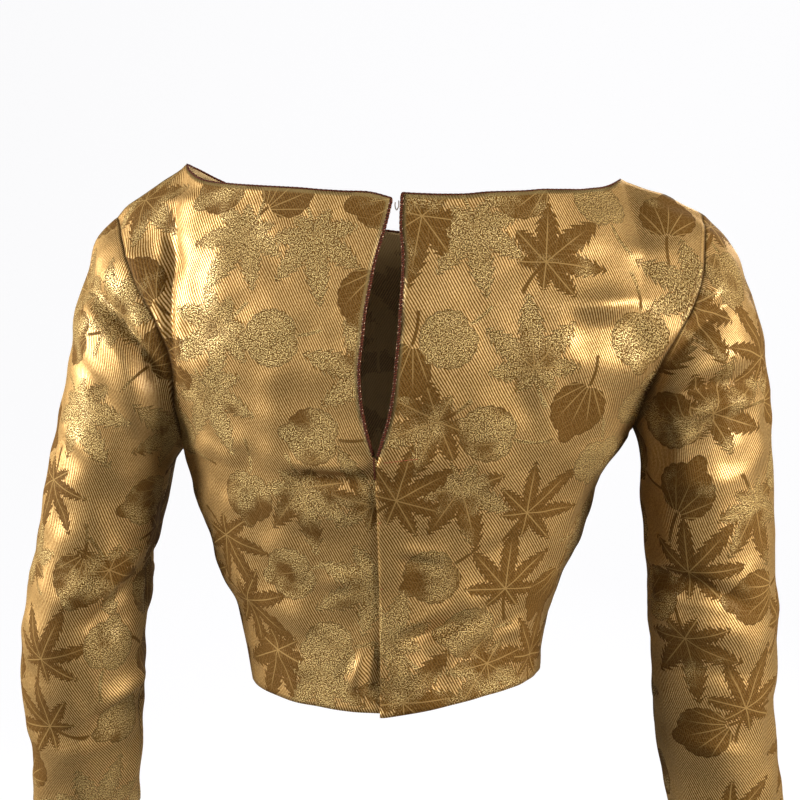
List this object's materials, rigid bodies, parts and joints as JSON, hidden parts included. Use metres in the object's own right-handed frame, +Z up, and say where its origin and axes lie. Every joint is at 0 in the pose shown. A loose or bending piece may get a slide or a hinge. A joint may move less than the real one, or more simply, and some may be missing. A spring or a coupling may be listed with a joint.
{
  "type": "boat neck blouse",
  "caption": "Fitted cropped blouse with a wide boat neck, elbow-covering sleeves and a piped keyhole slit closed by lapped backs, in worn form.",
  "frame": {"origin": "midway between the wearer's shoulders, at the height where the blouse hangs from them", "axes": "+X to the wearer's left, +Y out of the back, +Z up"},
  "size_m": [0.5302, 0.2279, 0.4628],
  "materials": {
    "gold_brocade": "satin twill brocade with leaf motifs",
    "maroon_cord": "matt twisted cord with beige stitches",
    "pale_thread": "matt thread"
  },
  "bodies": {
    "root": {"front": "gold_brocade", "back_left": "gold_brocade", "back_right": "gold_brocade", "sleeve_left": "gold_brocade", "sleeve_right": "gold_brocade", "neck_cord_front": "maroon_cord", "neck_cord_left": "maroon_cord", "neck_cord_right": "maroon_cord", "closing_loop": "pale_thread"}
  },
  "joints": []
}
